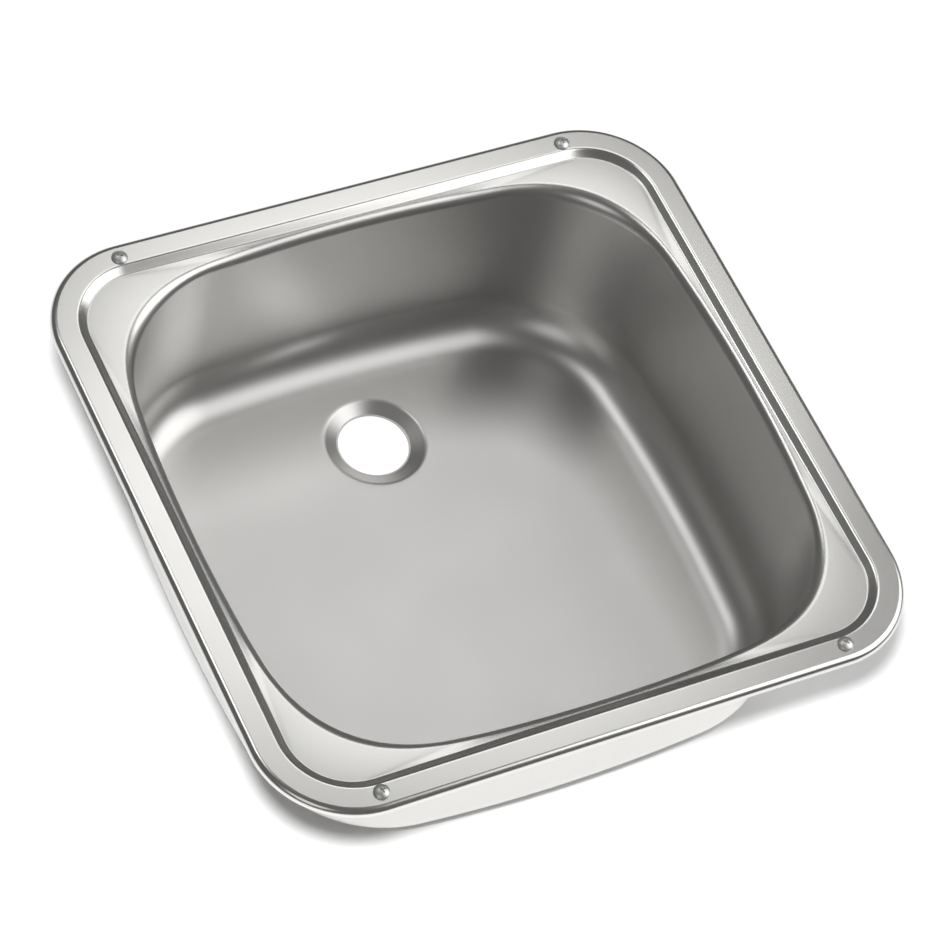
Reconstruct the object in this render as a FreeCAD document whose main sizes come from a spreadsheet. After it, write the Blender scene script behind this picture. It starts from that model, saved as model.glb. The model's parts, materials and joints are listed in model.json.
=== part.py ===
import FreeCAD, Part
import math
import os
import Sketcher
from FreeCAD import Placement, Rotation, Vector

# Square inset sink: one stainless pressing, a sealing strip under its rim, and four captive screws
# that go down through the rim into the worktop.
# Every piece is drawn from the centre of the rim's top face, which is then lifted to its height
# above the underside of the waste seat. +X is the sink's right, +Y its rear and +Z up.

SIZES = [
    # Rim, seen from above
    ("rim_width", 405),
    ("rim_depth", 400),
    ("rim_corner_radius", 58.5),
    ("sheet_thickness", 0.8),
    ("edge_height", 4.6),
    ("edge_roll_radius", 4),
    # Step down from the rim to the ledge round the bowl
    ("step_inset", 16.5),
    ("step_run", 4.8),
    ("step_drop", 3.2),
    ("step_edge_radius", 4),
    ("step_foot_radius", 2.5),
    # Bowl: four long side arcs joined by corner arcs, measured where the wall meets the ledge
    ("ledge_width", 1),
    ("bowl_side_radius", 1045),
    ("bowl_corner_radius", 87),
    ("bowl_lip_radius", 5.2),
    ("bowl_draft", 2.3),
    ("floor_drop", 125.4),
    ("floor_fall", 0.7),
    ("floor_fillet_radius", 27),
    # Waste hole in its dished seat
    ("waste_from_rear_wall", 73.5),
    ("waste_hole_diameter", 43.8),
    ("waste_flat_diameter", 46),
    ("waste_dish_diameter", 63),
    ("waste_dish_drop", 5),
    ("waste_dish_edge_radius", 2),
    # Sealing strip inside the turned-down edge, standing a little proud below it
    ("seal_fit_gap", 0.3),
    ("seal_width", 5.5),
    ("seal_proud_height", 1),
    ("seal_foot_radius", 0.8),
    # Fixing screws, each a domed tapping screw
    ("screw_from_side", 57.5),
    ("screw_from_edge", 11),
    ("screw_diameter", 4),
    ("screw_length", 20),
    ("screw_neck_diameter", 3.2),
    ("screw_clearance", 0.1),
    ("screw_point_length", 5),
    ("head_diameter", 9.6),
    ("head_height", 2.7),
    ("head_side_height", 0.7),
    ("recess_width", 4.6),
    ("recess_slot", 1.1),
    ("recess_depth", 1.7),
    # Captive washer in each screw's neck, held up clear of the worktop
    ("captive_washer_diameter", 8),
    ("captive_washer_thickness", 0.8),
    ("captive_washer_rise", 0.1),
    ("running_clearance", 0.05),
    # One overrun for every cut that passes right through
    ("overrun", 2),
]

CORNERS = [
    ("rear_left", -1, 1),
    ("rear_right", 1, 1),
    ("front_left", -1, -1),
    ("front_right", 1, -1),
]

RIM_HALF_X = "Sizes.rim_width / 2"
RIM_HALF_Y = "Sizes.rim_depth / 2"
BOWL_INSET = "(Sizes.step_inset + Sizes.step_run + Sizes.ledge_width + Sizes.bowl_lip_radius)"
BOWL_HALF_X = f"({RIM_HALF_X} - {BOWL_INSET})"
BOWL_HALF_Y = f"({RIM_HALF_Y} - {BOWL_INSET})"
WASTE_Y = f"({BOWL_HALF_Y} - Sizes.waste_from_rear_wall)"
FALL = "tan(Sizes.floor_fall * 1deg)"
FLOOR_AT_WASTE = f"(Sizes.floor_drop + ({WASTE_Y} + {BOWL_HALF_Y}) * {FALL})"
SEAT_UNDERSIDE = f"({FLOOR_AT_WASTE} + Sizes.waste_dish_drop + Sizes.sheet_thickness)"
SCREW_X = f"({RIM_HALF_X} - Sizes.screw_from_side)"
SCREW_Y = f"({RIM_HALF_Y} - Sizes.screw_from_edge)"
SEAL_UNDERSIDE = "(Sizes.edge_height + Sizes.seal_proud_height)"
WASHER_UNDERSIDE = "(Sizes.edge_height - Sizes.captive_washer_rise)"
NECK_END = f"({WASHER_UNDERSIDE} + Sizes.running_clearance)"

doc = FreeCAD.newDocument("SquareSink")
sheet = doc.addObject("Spreadsheet::Sheet", "Sizes")
for row, (alias, number) in enumerate(SIZES, start=1):
    sheet.set(f"A{row}", alias)
    sheet.set(f"B{row}", str(number))
    sheet.setAlias(f"B{row}", alias)
doc.recompute()


def value(formula):
    """The present number of a formula written on the sheet's cells."""
    result = sheet.evalExpression(formula)
    return float(getattr(result, "Value", result))


def plane(body, role):
    return next(item for item in body.Origin.OriginFeatures if item.Role == role)


def new_body(label):
    body = doc.addObject("PartDesign::Body", label)
    body.Label = label
    return body


def new_sketch(body, name, role="XY_Plane", offset="0"):
    """A sketch on one of the body's own planes, moved along that plane's normal by a formula."""
    sketch = body.newObject("Sketcher::SketchObject", name)
    sketch.AttachmentSupport = [(plane(body, role), "")]
    sketch.MapMode = "FlatFace"
    sketch.AttachmentOffset = Placement(Vector(0, 0, value(offset)), Rotation())
    sketch.setExpression("AttachmentOffset.Base.z", offset)
    return sketch


def bind(sketch, index, name, formula):
    """Name a dimension of a sketch and drive it by a formula."""
    sketch.renameConstraint(index, name)
    sketch.setExpression(f"Constraints.{name}", formula)


def add_arc(sketch, centre, radius, start, end):
    circle = Part.Circle(Vector(centre[0], centre[1], 0), Vector(0, 0, 1), radius)
    return sketch.addGeometry(Part.ArcOfCircle(circle, start, end), False)


def rounded_rectangle(sketch, half_x, half_y, radius, prefix="outline"):
    """Four lines and four corner arcs round the origin."""
    hx, hy, r = value(half_x), value(half_y), value(radius)
    ends = [
        ((hx, -hy + r), (hx, hy - r)),
        ((hx - r, hy), (-hx + r, hy)),
        ((-hx, hy - r), (-hx, -hy + r)),
        ((-hx + r, -hy), (hx - r, -hy)),
    ]
    centres = [(hx - r, hy - r), (-hx + r, hy - r), (-hx + r, -hy + r), (hx - r, -hy + r)]
    lines = []
    arcs = []
    for quarter in range(4):
        start, end = (Vector(x, y, 0) for x, y in ends[quarter])
        lines.append(sketch.addGeometry(Part.LineSegment(start, end), False))
        turn = quarter * math.pi / 2
        arcs.append(add_arc(sketch, centres[quarter], r, turn, turn + math.pi / 2))
    for quarter in range(4):
        following = lines[(quarter + 1) % 4]
        sketch.addConstraint(Sketcher.Constraint("Tangent", lines[quarter], 2, arcs[quarter], 1))
        sketch.addConstraint(Sketcher.Constraint("Tangent", arcs[quarter], 2, following, 1))
    sketch.addConstraint(Sketcher.Constraint("Vertical", lines[0]))
    sketch.addConstraint(Sketcher.Constraint("Vertical", lines[2]))
    sketch.addConstraint(Sketcher.Constraint("Horizontal", lines[1]))
    sketch.addConstraint(Sketcher.Constraint("Horizontal", lines[3]))
    right = sketch.addConstraint(Sketcher.Constraint("DistanceX", -1, 1, lines[0], 1, hx))
    bind(sketch, right, f"{prefix}_right", half_x)
    left = sketch.addConstraint(Sketcher.Constraint("DistanceX", lines[2], 1, -1, 1, hx))
    bind(sketch, left, f"{prefix}_left", half_x)
    rear = sketch.addConstraint(Sketcher.Constraint("DistanceY", -1, 1, lines[1], 1, hy))
    bind(sketch, rear, f"{prefix}_rear", half_y)
    front = sketch.addConstraint(Sketcher.Constraint("DistanceY", lines[3], 1, -1, 1, hy))
    bind(sketch, front, f"{prefix}_front", half_y)
    corner = sketch.addConstraint(Sketcher.Constraint("Radius", arcs[0], r))
    bind(sketch, corner, f"{prefix}_radius", radius)
    for arc in arcs[1:]:
        sketch.addConstraint(Sketcher.Constraint("Equal", arcs[0], arc))


def bowl_outline(sketch, offset):
    """The bowl's plan: four side arcs centred on the axes, joined by four tangent corner arcs."""
    half_x = f"{BOWL_HALF_X} + {offset}"
    half_y = f"{BOWL_HALF_Y} + {offset}"
    side_radius = f"Sizes.bowl_side_radius + {offset}"
    corner_radius = f"Sizes.bowl_corner_radius + {offset}"
    side, corner = value(side_radius), value(corner_radius)
    reach_x = side - value(half_x)
    reach_y = side - value(half_y)
    # A corner's centre lies on two circles of this radius, one round each side arc's centre
    span = math.hypot(reach_x, reach_y)
    rise = math.sqrt((side - corner) ** 2 - span ** 2 / 4)
    corner_x = -reach_x / 2 + rise * reach_y / span
    corner_y = -reach_y / 2 + rise * reach_x / span
    side_end = math.atan2(corner_y, corner_x + reach_x)
    rear_start = math.atan2(corner_y + reach_y, corner_x)
    half_turn = math.pi
    arcs = [
        add_arc(sketch, (-reach_x, 0), side, -side_end, side_end),
        add_arc(sketch, (corner_x, corner_y), corner, side_end, rear_start),
        add_arc(sketch, (0, -reach_y), side, rear_start, half_turn - rear_start),
        add_arc(sketch, (-corner_x, corner_y), corner, half_turn - rear_start, half_turn - side_end),
        add_arc(sketch, (reach_x, 0), side, half_turn - side_end, half_turn + side_end),
        add_arc(sketch, (-corner_x, -corner_y), corner, half_turn + side_end, half_turn + rear_start),
        add_arc(sketch, (0, reach_y), side, half_turn + rear_start, 2 * half_turn - rear_start),
        add_arc(sketch, (corner_x, -corner_y), corner, -rear_start, -side_end),
    ]
    for index, arc in enumerate(arcs):
        following = arcs[(index + 1) % len(arcs)]
        sketch.addConstraint(Sketcher.Constraint("Tangent", arc, 2, following, 1))
    right, rear, left, front = arcs[0::2]
    for arc in (right, left):
        sketch.addConstraint(Sketcher.Constraint("PointOnObject", arc, 3, -1))
    for arc in (rear, front):
        sketch.addConstraint(Sketcher.Constraint("PointOnObject", arc, 3, -2))
    centre_x = f"{side_radius} - ({half_x})"
    centre_y = f"{side_radius} - ({half_y})"
    places = [
        ("right_centre", "DistanceX", (right, 3, -1, 1), reach_x, centre_x),
        ("left_centre", "DistanceX", (-1, 1, left, 3), reach_x, centre_x),
        ("rear_centre", "DistanceY", (rear, 3, -1, 1), reach_y, centre_y),
        ("front_centre", "DistanceY", (-1, 1, front, 3), reach_y, centre_y),
    ]
    for name, kind, points, number, formula in places:
        index = sketch.addConstraint(Sketcher.Constraint(kind, *points, number))
        bind(sketch, index, name, formula)
    index = sketch.addConstraint(Sketcher.Constraint("Radius", right, side))
    bind(sketch, index, "side_radius", side_radius)
    index = sketch.addConstraint(Sketcher.Constraint("Radius", arcs[1], corner))
    bind(sketch, index, "corner_radius", corner_radius)
    for arc in (rear, left, front):
        sketch.addConstraint(Sketcher.Constraint("Equal", right, arc))
    for arc in arcs[3::2]:
        sketch.addConstraint(Sketcher.Constraint("Equal", arcs[1], arc))


def circle(sketch, radius, name="radius", x="0", y="0"):
    """A circle whose centre and radius follow formulas."""
    centre = Vector(value(x), value(y), 0)
    shape = Part.Circle(centre, Vector(0, 0, 1), value(radius))
    index = sketch.addGeometry(shape, False)
    size = sketch.addConstraint(Sketcher.Constraint("Radius", index, value(radius)))
    bind(sketch, size, name, radius)
    if x == "0" and y == "0":
        sketch.addConstraint(Sketcher.Constraint("Coincident", index, 3, -1, 1))
        return
    place_x = sketch.addConstraint(Sketcher.Constraint("DistanceX", -1, 1, index, 3, centre.x))
    bind(sketch, place_x, f"{name}_x", x)
    place_y = sketch.addConstraint(Sketcher.Constraint("DistanceY", -1, 1, index, 3, centre.y))
    bind(sketch, place_y, f"{name}_y", y)


def polygon(sketch, points):
    """A closed outline of straight lines whose corners follow pairs of formulas."""
    corners = [Vector(value(x), value(y), 0) for x, y in points]
    count = len(corners)
    for index, corner in enumerate(corners):
        sketch.addGeometry(Part.LineSegment(corner, corners[(index + 1) % count]), False)
    for index in range(count):
        following = (index + 1) % count
        sketch.addConstraint(Sketcher.Constraint("Coincident", index, 2, following, 1))
    for index, (x, y) in enumerate(points):
        for axis, formula, kind in (("x", x, "DistanceX"), ("y", y, "DistanceY")):
            number = corners[index].x if axis == "x" else corners[index].y
            place = sketch.addConstraint(Sketcher.Constraint(kind, -1, 1, index, 1, number))
            bind(sketch, place, f"corner_{index}_{axis}", formula)


def pad(body, sketch, name, length, downwards=True, taper=None):
    feature = body.newObject("PartDesign::Pad", name)
    feature.Profile = sketch
    feature.Reversed = downwards
    feature.Length = value(length)
    feature.setExpression("Length", length)
    if taper is not None:
        feature.TaperAngle = value(taper)
        feature.setExpression("TaperAngle", taper)
    doc.recompute()
    return feature


def pocket(body, sketch, name, length, upwards=False, both_ways=False):
    """A cut that has to take something away."""
    before = body.Tip.Shape.Volume
    feature = body.newObject("PartDesign::Pocket", name)
    feature.Profile = sketch
    feature.Length = value(length)
    feature.setExpression("Length", length)
    feature.Reversed = upwards
    feature.Midplane = both_ways
    doc.recompute()
    if not feature.Shape.Volume < before:
        raise RuntimeError(f"{body.Label}: {name} cut nothing")
    return feature


def revolve(body, sketch, name, axis="V_Axis"):
    feature = body.newObject("PartDesign::Revolution", name)
    feature.Profile = sketch
    feature.ReferenceAxis = (sketch, [axis])
    feature.Angle = 360
    doc.recompute()
    return feature


def edge_names(shape, edges):
    """The names that a shape gives to some of its edges."""
    names = []
    for index, edge in enumerate(shape.Edges, start=1):
        if any(edge.isSame(other) for other in edges):
            names.append(f"Edge{index}")
    return names


def fillet(body, name, edges, radius):
    base = body.Tip
    feature = body.newObject("PartDesign::Fillet", name)
    feature.Base = (base, edge_names(base.Shape, edges))
    feature.Radius = value(radius)
    feature.setExpression("Radius", radius)
    doc.recompute()
    return feature


def level_faces(shape, z):
    """Flat horizontal faces of a shape at one height."""
    near = value("Sizes.sheet_thickness") / 100
    faces = []
    for face in shape.Faces:
        box = face.BoundBox
        if box.ZLength < near and abs(box.ZMin - z) < near:
            faces.append(face)
    return faces


def widest(faces):
    return max(faces, key=lambda face: face.BoundBox.XLength)


def inner_edges(face):
    """The edges of a face's holes."""
    outer = face.OuterWire.Edges
    return [edge for edge in face.Edges if not any(edge.isSame(other) for other in outer)]


def waste_sketch(body, name):
    """A sketch on the upright plane through the waste, its own Y axis upright through the hole."""
    sketch = body.newObject("Sketcher::SketchObject", name)
    sketch.AttachmentSupport = [(plane(body, "XZ_Plane"), "")]
    sketch.MapMode = "FlatFace"
    offset = f"-{WASTE_Y}"
    sketch.AttachmentOffset = Placement(Vector(0, 0, value(offset)), Rotation())
    sketch.setExpression("AttachmentOffset.Base.z", offset)
    return sketch


def pressed_form(body, offset, name):
    """Step, ledge, bowl and waste seat as one solid, the inside of the pressing grown by offset.

    With no offset it is what the sink holds. Grown by the sheet's thickness it is the outside.
    """
    slant = f"{offset} / sin(atan(Sizes.step_drop / Sizes.step_run))"
    step = new_sketch(body, f"{name}_step_plan")
    rounded_rectangle(
        step,
        f"{RIM_HALF_X} - Sizes.step_inset + {slant}",
        f"{RIM_HALF_Y} - Sizes.step_inset + {slant}",
        f"Sizes.rim_corner_radius - Sizes.step_inset + {slant}",
    )
    step_taper = "-atan(Sizes.step_run / Sizes.step_drop)"
    pad(body, step, f"{name}_step", f"Sizes.step_drop + {offset}", taper=step_taper)

    wall = new_sketch(body, f"{name}_bowl_plan", offset="-Sizes.step_drop")
    bowl_outline(wall, f"{offset} / cos(Sizes.bowl_draft * 1deg)")
    rear_floor = f"(Sizes.floor_drop + 2 * {BOWL_HALF_Y} * {FALL} + {offset})"
    wall_depth = f"{rear_floor} - Sizes.step_drop"
    pad(body, wall, f"{name}_bowl", wall_depth, taper="-Sizes.bowl_draft * 1deg")

    # The floor falls from the front wall to the rear, so a wedge is cut off below it
    front = f"-({BOWL_HALF_Y} + Sizes.overrun)"
    rear = f"({BOWL_HALF_Y} + Sizes.overrun)"
    front_level = f"-(Sizes.floor_drop - Sizes.overrun * {FALL} + {offset})"
    rear_level = f"-({rear_floor} + Sizes.overrun * {FALL})"
    below = f"({rear_level} - Sizes.overrun)"
    wedge = new_sketch(body, f"{name}_floor_line", role="YZ_Plane")
    polygon(wedge, [(front, front_level), (front, below), (rear, below), (rear, rear_level)])
    pocket(body, wedge, f"{name}_floor_cut", "Sizes.rim_width", both_ways=True)

    floor = min(body.Tip.Shape.Faces, key=lambda face: face.CenterOfMass.z)
    fillet(body, f"{name}_floor_fillet", floor.Edges, f"Sizes.floor_fillet_radius + {offset}")
    ledge_level = -value(f"Sizes.step_drop + {offset}")
    ledge = widest(level_faces(body.Tip.Shape, ledge_level))
    fillet(body, f"{name}_lip", inner_edges(ledge), f"Sizes.bowl_lip_radius - {offset}")
    ledge = widest(level_faces(body.Tip.Shape, ledge_level))
    outer = ledge.OuterWire.Edges
    fillet(body, f"{name}_foot", outer, f"Sizes.step_foot_radius + {offset}")

    # Dished waste seat: down a cone from the floor to a flat ring
    seat = waste_sketch(body, f"{name}_seat_profile")
    at_waste = f"({FLOOR_AT_WASTE} + {offset})"
    slope = "((Sizes.waste_dish_diameter - Sizes.waste_flat_diameter) / 2 / Sizes.waste_dish_drop)"
    grown = f"({offset} * (sqrt(1 + {slope} ^ 2) - {slope}))"
    over = "(Sizes.waste_dish_drop / 2)"
    polygon(seat, [
        ("0", f"-({at_waste} - {over})"),
        ("0", f"-({at_waste} + Sizes.waste_dish_drop)"),
        (f"Sizes.waste_flat_diameter / 2 + {grown}", f"-({at_waste} + Sizes.waste_dish_drop)"),
        (f"Sizes.waste_dish_diameter / 2 + {grown} + {over} * {slope}", f"-({at_waste} - {over})"),
    ])
    revolve(body, seat, f"{name}_seat")
    cones = [face for face in body.Tip.Shape.Faces if isinstance(face.Surface, Part.Cone)]
    dish = min(cones, key=lambda face: face.CenterOfMass.z)
    dish_edge = max(dish.Edges, key=lambda edge: edge.CenterOfMass.z)
    fillet(body, f"{name}_dish_edge", [dish_edge], f"Sizes.waste_dish_edge_radius - {offset}")


def make_sink_bowl():
    """The pressing: its outer skin less what it holds, with the step's edge rounded."""
    blank = new_body("bowl_outside")
    plan = new_sketch(blank, "rim_plan")
    rounded_rectangle(plan, RIM_HALF_X, RIM_HALF_Y, "Sizes.rim_corner_radius")
    pad(blank, plan, "rim_plate", "Sizes.edge_height")
    hollow = new_sketch(blank, "rim_hollow_plan", offset="-Sizes.edge_height")
    rounded_rectangle(
        hollow,
        f"{RIM_HALF_X} - Sizes.sheet_thickness",
        f"{RIM_HALF_Y} - Sizes.sheet_thickness",
        "Sizes.rim_corner_radius - Sizes.sheet_thickness",
    )
    hollow_height = "Sizes.edge_height - Sizes.sheet_thickness"
    pocket(blank, hollow, "rim_hollow", hollow_height, upwards=True)
    underside = widest(level_faces(blank.Tip.Shape, -value("Sizes.sheet_thickness")))
    inner_roll = "Sizes.edge_roll_radius - Sizes.sheet_thickness"
    fillet(blank, "edge_inner_roll", underside.OuterWire.Edges, inner_roll)
    top = widest(level_faces(blank.Tip.Shape, 0))
    fillet(blank, "edge_outer_roll", top.OuterWire.Edges, "Sizes.edge_roll_radius")

    holes = new_sketch(blank, "screw_holes_plan")
    hole_radius = "Sizes.screw_diameter / 2 + Sizes.screw_clearance"
    for name, x_side, y_side in CORNERS:
        circle(holes, hole_radius, name, x=f"{x_side} * {SCREW_X}", y=f"{y_side} * {SCREW_Y}")
    pocket(blank, holes, "screw_holes", "Sizes.sheet_thickness + Sizes.overrun")
    pressed_form(blank, "Sizes.sheet_thickness", "outside")

    cavity = new_body("bowl_inside")
    pressed_form(cavity, "0 * Sizes.sheet_thickness", "inside")
    bore = new_sketch(cavity, "waste_bore_plan", offset=f"-({SEAT_UNDERSIDE}) - Sizes.overrun")
    circle(bore, "Sizes.waste_hole_diameter / 2", y=WASTE_Y)
    bore_height = "Sizes.waste_dish_drop + Sizes.sheet_thickness + Sizes.overrun"
    pad(cavity, bore, "waste_bore", bore_height, downwards=False)

    pressing = doc.addObject("Part::Cut", "pressing")
    pressing.Base = blank
    pressing.Tool = cavity
    doc.recompute()

    sink = doc.addObject("Part::Fillet", "sink_bowl")
    sink.Base = pressing
    rim_top = widest(level_faces(pressing.Shape, 0))
    step_line = max(rim_top.Wires, key=lambda wire: wire.BoundBox.XLength
                    if not wire.isSame(rim_top.OuterWire) else 0)
    radius = value("Sizes.step_edge_radius")
    names = edge_names(pressing.Shape, step_line.Edges)
    sink.Edges = [(int(name[len("Edge"):]), radius, radius) for name in names]
    doc.recompute()
    return sink


def make_rim_seal():
    """Sealing strip: rounded to lie in the rim's rolled edge, and proud of it below."""
    body = new_body("rim_seal")
    outer_inset = "(Sizes.sheet_thickness + Sizes.seal_fit_gap)"
    plan = new_sketch(body, "strip_plan", offset="-Sizes.sheet_thickness")
    for prefix, inset in (("outer", outer_inset), ("inner", f"({outer_inset} + Sizes.seal_width)")):
        rounded_rectangle(
            plan,
            f"{RIM_HALF_X} - {inset}",
            f"{RIM_HALF_Y} - {inset}",
            f"Sizes.rim_corner_radius - {inset}",
            prefix,
        )
    pad(body, plan, "strip", f"{SEAL_UNDERSIDE} - Sizes.sheet_thickness")
    top = widest(level_faces(body.Tip.Shape, -value("Sizes.sheet_thickness")))
    fillet(body, "top_edge", top.OuterWire.Edges, f"Sizes.edge_roll_radius - {outer_inset}")
    underside = widest(level_faces(body.Tip.Shape, -value(SEAL_UNDERSIDE)))
    fillet(body, "foot_edge", underside.OuterWire.Edges, "Sizes.seal_foot_radius")
    return body


def make_fixing_screw(label):
    """Domed screw with a cross recess, a narrow neck through the rim and a pointed shank."""
    body = new_body(label)
    profile = new_sketch(body, "profile", role="XZ_Plane")
    head = "Sizes.head_diameter / 2"
    shank = "Sizes.screw_diameter / 2"
    neck = "Sizes.screw_neck_diameter / 2"
    corners = [
        ("0", "-Sizes.screw_length"),
        (shank, "-Sizes.screw_length + Sizes.screw_point_length"),
        (shank, f"-{NECK_END}"),
        (neck, f"-{NECK_END}"),
        (neck, "0"),
        (head, "0"),
        (head, "Sizes.head_side_height"),
        ("0", "Sizes.head_height"),
    ]
    places = [Vector(value(x), value(y), 0) for x, y in corners]
    count = len(places)
    dome_rise = value("Sizes.head_height - Sizes.head_side_height")
    half_width = value(head)
    dome_radius = (half_width ** 2 + dome_rise ** 2) / (2 * dome_rise)
    dome_centre = value("Sizes.head_height") - dome_radius
    dome_start = math.asin((places[count - 2].y - dome_centre) / dome_radius)
    for index in range(count):
        if index == count - 2:
            add_arc(profile, (0, dome_centre), dome_radius, dome_start, math.pi / 2)
        else:
            line = Part.LineSegment(places[index], places[(index + 1) % count])
            profile.addGeometry(line, False)
    for index in range(count):
        following = (index + 1) % count
        profile.addConstraint(Sketcher.Constraint("Coincident", index, 2, following, 1))
    for index, (x, y) in enumerate(corners):
        for axis, formula, kind in (("x", x, "DistanceX"), ("y", y, "DistanceY")):
            number = places[index].x if axis == "x" else places[index].y
            place = profile.addConstraint(Sketcher.Constraint(kind, -1, 1, index, 1, number))
            bind(profile, place, f"corner_{index}_{axis}", formula)
    profile.addConstraint(Sketcher.Constraint("PointOnObject", count - 2, 3, -2))
    revolve(body, profile, "turned_shape")

    recess = new_sketch(body, "recess_plan", offset="Sizes.head_height")
    wing = "Sizes.recess_width / 2"
    slot = "Sizes.recess_slot / 2"
    cross = []
    for quarter in ((1, 1), (-1, 1), (-1, -1), (1, -1)):
        x_side, y_side = quarter
        arms = [(wing, slot), (slot, slot), (slot, wing)]
        if x_side * y_side < 0:
            arms.reverse()
        cross += [(f"{x_side} * {x}", f"{y_side} * {y}") for x, y in arms]
    polygon(recess, cross)
    pocket(body, recess, "recess", "Sizes.recess_depth")
    return body


def make_captive_washer(label):
    """Flat washer snapped into the screw's neck below the rim, so that the screw can't drop out."""
    body = new_body(label)
    plan = new_sketch(body, "plan", offset=f"-{WASHER_UNDERSIDE}")
    circle(plan, "Sizes.captive_washer_diameter / 2", "outer")
    circle(plan, "Sizes.screw_neck_diameter / 2 + Sizes.running_clearance", "inner")
    pad(body, plan, "washer", "Sizes.captive_washer_thickness", downwards=False)
    return body


def place(piece, x="0", y="0"):
    """Lift a piece to the rim's height, over a point of the rim's plan."""
    piece.setExpression("Placement.Base.x", x)
    piece.setExpression("Placement.Base.y", y)
    piece.setExpression("Placement.Base.z", SEAT_UNDERSIDE)
    return piece


pieces = [place(make_sink_bowl()), place(make_rim_seal())]
for corner, x_side, y_side in CORNERS:
    for piece in (
        make_fixing_screw(f"fixing_screw_{corner}"),
        make_captive_washer(f"captive_washer_{corner}"),
    ):
        pieces.append(place(piece, f"{x_side} * {SCREW_X}", f"{y_side} * {SCREW_Y}"))
doc.recompute()

for item in doc.Objects:
    if "Invalid" in item.State or "Error" in item.State:
        raise RuntimeError(f"{item.Label} failed: {item.State}")
for piece in pieces:
    if piece.Shape.isNull() or not piece.Shape.isValid():
        raise RuntimeError(f"{piece.Label} has no sound shape")

os.makedirs("parts", exist_ok=True)
for piece in pieces:
    piece.Shape.exportStep(f"parts/{piece.Label}.step")
    solids = len(piece.Shape.Solids)
    print(f"{piece.Label}: {solids} solid, {piece.Shape.Volume:.1f} mm3")
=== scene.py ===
import json
import math

import bmesh
import bpy
from mathutils import Matrix, Vector


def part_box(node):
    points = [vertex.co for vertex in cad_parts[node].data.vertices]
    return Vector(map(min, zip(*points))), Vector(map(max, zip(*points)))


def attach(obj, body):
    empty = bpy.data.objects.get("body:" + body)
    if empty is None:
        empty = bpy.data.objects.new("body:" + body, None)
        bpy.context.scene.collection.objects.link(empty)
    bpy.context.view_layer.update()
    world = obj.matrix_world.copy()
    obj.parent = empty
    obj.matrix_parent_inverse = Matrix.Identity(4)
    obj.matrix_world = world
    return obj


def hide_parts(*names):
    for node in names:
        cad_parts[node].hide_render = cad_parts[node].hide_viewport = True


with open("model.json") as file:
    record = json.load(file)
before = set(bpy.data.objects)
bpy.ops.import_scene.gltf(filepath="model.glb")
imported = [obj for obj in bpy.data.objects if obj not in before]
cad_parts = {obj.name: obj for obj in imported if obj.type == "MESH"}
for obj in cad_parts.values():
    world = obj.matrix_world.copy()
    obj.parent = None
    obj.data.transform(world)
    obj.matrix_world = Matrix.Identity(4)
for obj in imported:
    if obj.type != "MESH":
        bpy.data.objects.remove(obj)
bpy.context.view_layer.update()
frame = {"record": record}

bl_info = {
    "name": "Square Inset Sink",
    "version": (1, 0, 0),
    "blender": (4, 5, 0),
    "location": "3D View > Sidebar > Sink",
    "description": "Dresses the square inset sink: pressed bowl, seal, screws and washers",
    "category": "Add Mesh",
}

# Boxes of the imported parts, which give the overall sizes and heights
RIM_LOW, RIM_HIGH = (Vector(corner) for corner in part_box("sink_bowl"))
SEAL_LOW, SEAL_HIGH = (Vector(corner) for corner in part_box("rim_seal"))
SCREW_LOW, SCREW_HIGH = (Vector(corner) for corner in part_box("fixing_screw_rear_right"))
WASHER_LOW, WASHER_HIGH = (Vector(corner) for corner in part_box("captive_washer_rear_right"))
WASTE = next(item for item in frame["record"]["mounts"] if item["name"] == "waste_hole")

# In the order of the points of corner_tree's grid
CORNERS = ("front_left", "rear_left", "front_right", "rear_right")
QUADRANTS = ((1, 1), (-1, 1), (-1, -1), (1, -1))

MM = 0.001
# A row of points this far beside an arc keeps the shading of the flat next to it even
SHADING_GUARD = 0.1 * MM
MERGE_DISTANCE = MM / 1000
SHARP_DEGREES = 40
# Most values of a noise texture lie between these
NOISE_RANGE = (0.3, 0.7)
# Distances of the softboxes from the aim, in metres
SOFTBOXES = {"rear": 2.2, "side": 2, "left": 2, "front": 2.2}
SENSOR_WIDTH = 36


def length(name, description, default):
    """A length in metres that a user can change, typed in millimetres here."""
    return bpy.props.FloatProperty(
        name=name, description=description, default=default * MM, unit="LENGTH", precision=5
    )


def measured(name, description, default):
    """A length in metres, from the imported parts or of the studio."""
    return bpy.props.FloatProperty(
        name=name, description=description, default=default, unit="LENGTH", precision=5
    )


def angle(name, description, degrees):
    return bpy.props.FloatProperty(
        name=name, description=description, default=math.radians(degrees), subtype="ANGLE"
    )


def plain(name, description, default):
    """A number without a length or an angle."""
    return bpy.props.FloatProperty(name=name, description=description, default=default, min=0)


def count(name, description, default):
    return bpy.props.IntProperty(name=name, description=description, default=default)


def colour(name, description, default):
    """A colour as an sRGB hex value."""
    return bpy.props.StringProperty(name=name, description=description, default=default)


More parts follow.
